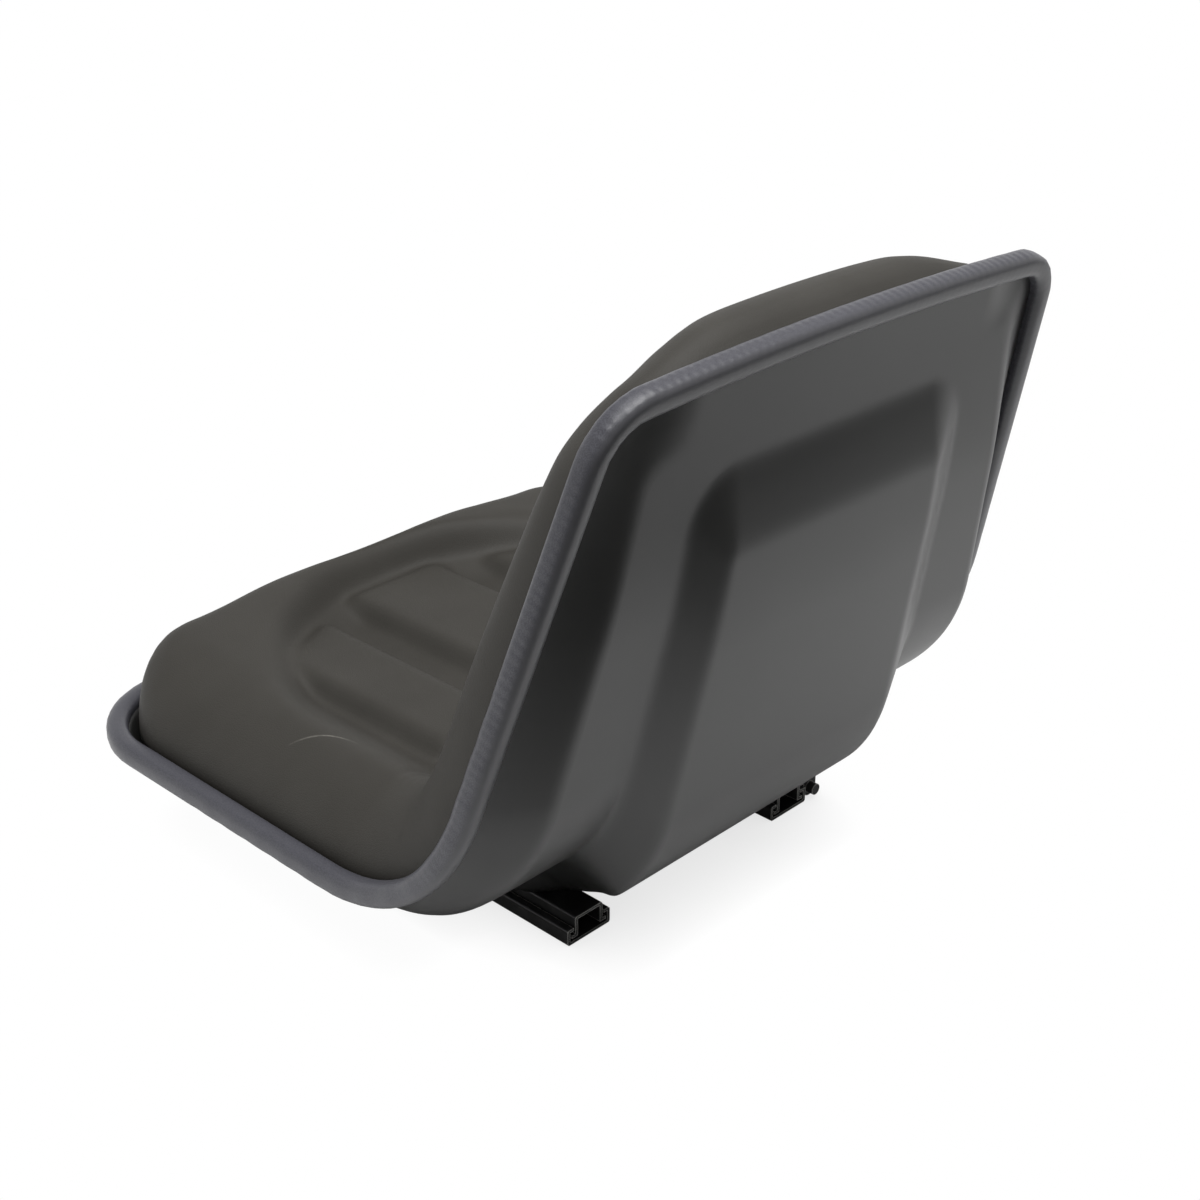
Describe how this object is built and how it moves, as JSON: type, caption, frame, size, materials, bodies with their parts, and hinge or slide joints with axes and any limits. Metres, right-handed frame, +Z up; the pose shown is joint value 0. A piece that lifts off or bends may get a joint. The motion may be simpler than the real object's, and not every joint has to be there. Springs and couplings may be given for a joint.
{
  "type": "operator seat",
  "caption": "Low-back operator seat for a ride-on garden machine: black pressed-steel bucket pan with edge trim, grained vinyl cushion and latching slide rails.",
  "frame": {"origin": "centre of the lower rails' bolt pattern, on their underside", "axes": "+X to the sitter's left, +Y to the back of the seat, +Z up"},
  "size_m": [0.472, 0.4646, 0.3981],
  "materials": {
    "pan_paint": "satin black powder coat",
    "rail_paint": "semi-gloss black paint",
    "vinyl": "matt grained vinyl",
    "trim_pvc": "satin PVC",
    "grip_pvc": "matt PVC",
    "nylon": "natural nylon",
    "zinc": "zinc plate",
    "bare_steel": "oiled steel"
  },
  "bodies": {
    "base": {"lower_rail_left": "rail_paint", "lower_rail_right": "rail_paint"},
    "seat": {"seat_pan": "pan_paint", "seat_cushion": "vinyl", "edge_trim": "trim_pvc", "upper_rail_left": "rail_paint", "upper_rail_right": "rail_paint", "lever_bracket_rear": "rail_paint", "lever_bracket_front": "rail_paint", "glide_shoe_left_front_outer": "nylon", "glide_shoe_left_front_inner": "nylon", "glide_shoe_left_rear_outer": "nylon", "glide_shoe_left_rear_inner": "nylon", "glide_shoe_right_front_outer": "nylon", "glide_shoe_right_front_inner": "nylon", "glide_shoe_right_rear_outer": "nylon", "glide_shoe_right_rear_inner": "nylon", "rail_bolt_left_front": "zinc", "rail_bolt_left_rear": "zinc", "rail_bolt_right_front": "zinc", "rail_bolt_right_rear": "zinc", "rail_washer_left_front": "zinc", "rail_washer_left_rear": "zinc", "rail_washer_right_front": "zinc", "rail_washer_right_rear": "zinc", "weld_nut_left_front": "bare_steel", "weld_nut_left_rear": "bare_steel", "weld_nut_right_front": "bare_steel", "weld_nut_right_rear": "bare_steel", "lever_spring": "bare_steel"},
    "lever": {"lever_rod": "rail_paint", "lever_grip": "grip_pvc", "latch_tooth": "bare_steel"}
  },
  "joints": [
    {"name": "seat_slide", "type": "slide", "parent": "base", "child": "seat", "axis": [0, 1, 0], "range_m": [-0.075, 0.075]},
    {"name": "lever_pivot", "type": "hinge", "parent": "seat", "child": "lever", "pos_m": [-0.1205, 0, 0.007], "axis": [0, 1, 0], "range_deg": [0, 12]}
  ]
}
